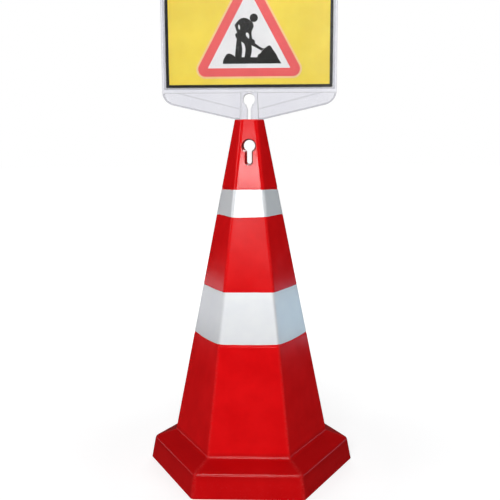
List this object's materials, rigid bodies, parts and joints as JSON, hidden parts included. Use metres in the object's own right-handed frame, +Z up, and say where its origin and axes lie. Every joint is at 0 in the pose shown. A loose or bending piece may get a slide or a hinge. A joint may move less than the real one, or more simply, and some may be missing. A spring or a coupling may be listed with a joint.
{
  "type": "traffic cone with sign holder",
  "caption": "Hexagonal red plastic traffic cone with reflective bands and a clear plug-in holder for a roadworks sign; the holder lifts out of the cone and the sign slides out of the holder.",
  "frame": {"origin": "middle of the footprint, on the ground", "axes": "+Z up the cone's axis, -Y out of the front of the sign, +X to the right seen from behind the sign's rear face and to the right of a viewer who faces its front"},
  "size_m": [0.4184, 0.3652, 1],
  "materials": {
    "red_plastic": "satin moulded polyethylene, slightly mottled",
    "reflective_sheet": "prismatic reflective sheet",
    "ballast_rubber": "granular recycled rubber",
    "screw_steel": "zinc plated",
    "clear_plastic": "clear moulded plastic, faintly frosted",
    "window_plastic": "clear polished sheet",
    "board_foam": "white foamed board",
    "yellow_film": "glossy film",
    "black_film": "glossy film",
    "white_film": "glossy film",
    "cream_film": "glossy film",
    "red_film": "glossy film"
  },
  "bodies": {
    "cone": {"cone_shell": "red_plastic", "upper_reflective_band": "reflective_sheet", "lower_reflective_band": "reflective_sheet", "ballast_ring": "ballast_rubber", "ballast_screws": "screw_steel"},
    "holder": {"holder_front_shell": "clear_plastic", "holder_rear_shell": "clear_plastic", "front_window": "window_plastic", "rear_window": "window_plastic"},
    "insert": {"sign_board": "board_foam", "front_yellow_film": "yellow_film", "front_black_border": "black_film", "front_triangle_outline": "cream_film", "front_white_triangle": "white_film", "front_red_ring": "red_film", "front_worker_pictogram": "black_film", "rear_yellow_film": "yellow_film", "rear_black_border": "black_film", "rear_triangle_outline": "cream_film", "rear_white_triangle": "white_film", "rear_red_ring": "red_film", "rear_worker_pictogram": "black_film"}
  },
  "joints": [
    {"name": "holder_lift", "type": "slide", "parent": "cone", "child": "holder", "axis": [0, 0, 1], "range_m": [0, 0.05]},
    {"name": "insert_lift", "type": "slide", "parent": "holder", "child": "insert", "axis": [0, 0, 1], "range_m": [0, 0.25]}
  ]
}
